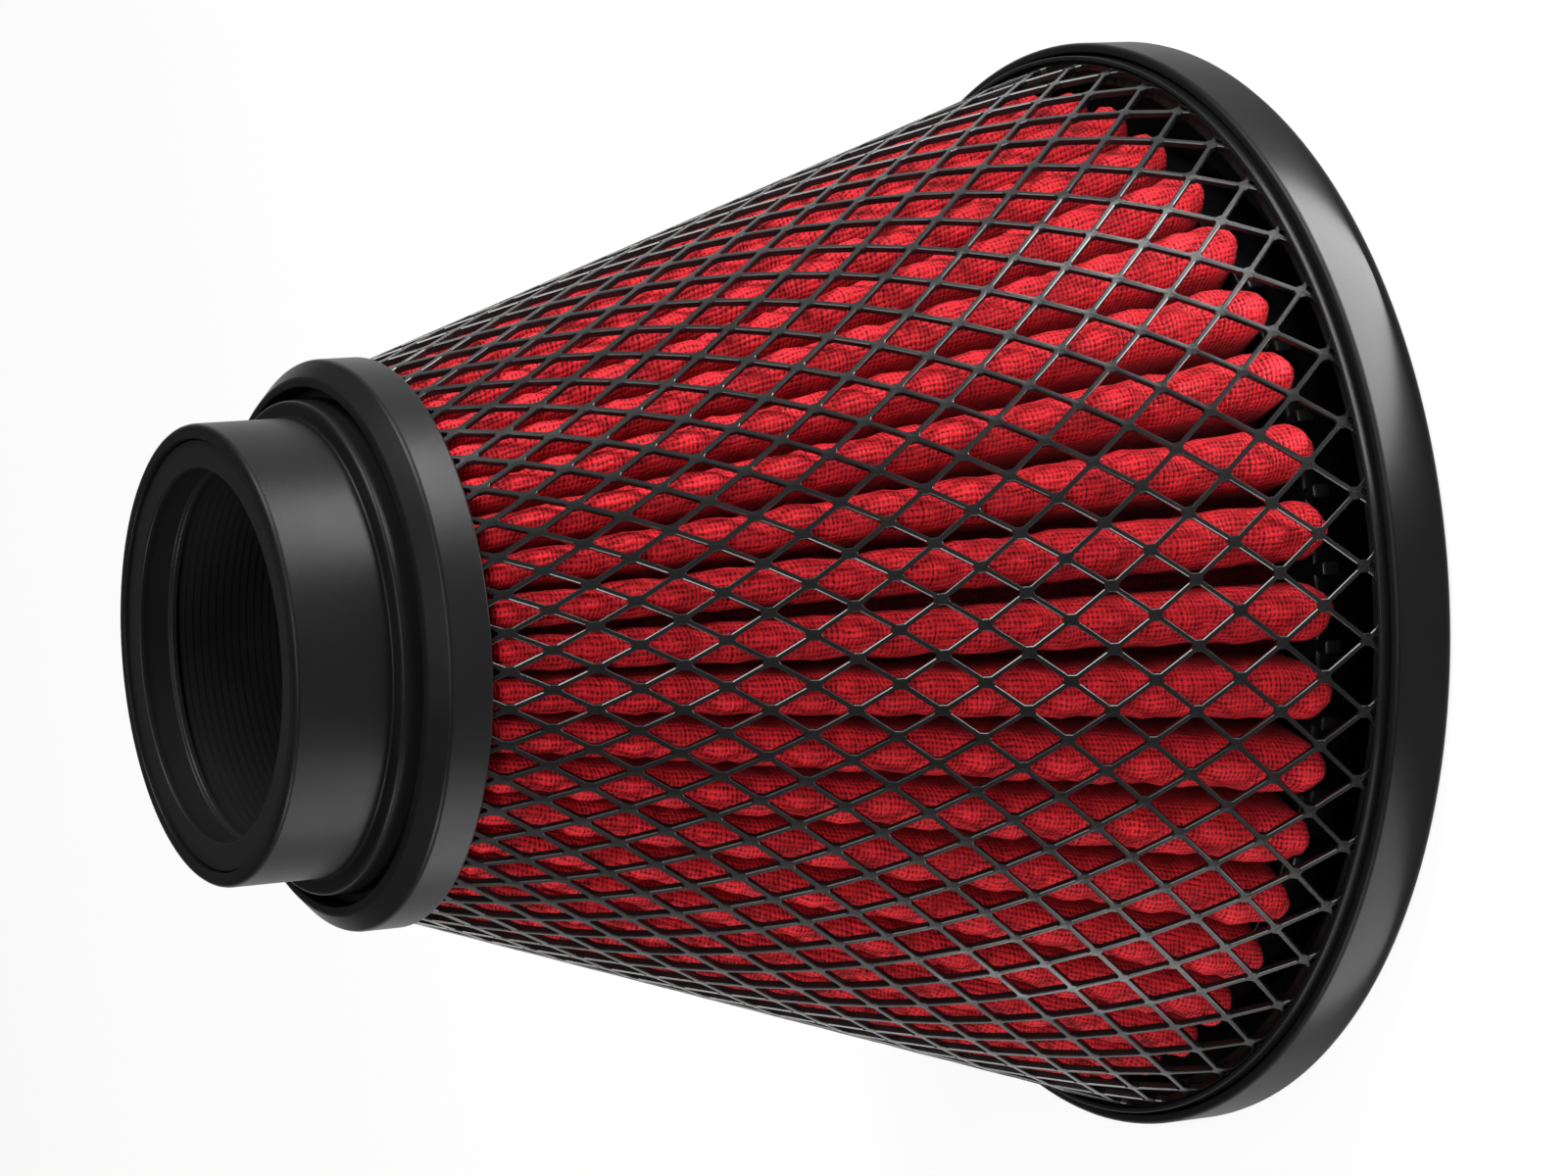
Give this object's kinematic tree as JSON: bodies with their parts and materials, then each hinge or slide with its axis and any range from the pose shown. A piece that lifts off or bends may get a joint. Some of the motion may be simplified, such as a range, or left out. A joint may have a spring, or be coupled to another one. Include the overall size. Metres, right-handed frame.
{
  "type": "conical engine air filter",
  "caption": "Conical clamp-on air filter with red pleated cotton media behind a black diamond mesh, a closed end cap and a stepped round neck.",
  "frame": {"origin": "middle of the underside of the closed end cap, on the filter's axis", "axes": "+Z along the filter's axis from the closed cap towards the neck's mouth"},
  "size_m": [0.188, 0.188, 0.1765],
  "materials": {
    "cap_rubber": "satin black moulded rubber",
    "ring_plastic": "matt black",
    "seal_rubber": "dull black potting",
    "mesh_steel": "black coated, half gloss",
    "cotton_gauze": "red oiled cotton gauze",
    "collar_plastic": "satin black",
    "neck_rubber": "satin black moulded rubber",
    "liner_plastic": "dull black"
  },
  "bodies": {
    "root": {"end_cap": "cap_rubber", "cap_retaining_ring": "ring_plastic", "cap_seal": "seal_rubber", "outer_mesh": "mesh_steel", "pleated_media": "cotton_gauze", "collar": "collar_plastic", "neck_sleeve": "neck_rubber", "neck_liner": "liner_plastic"}
  },
  "joints": []
}
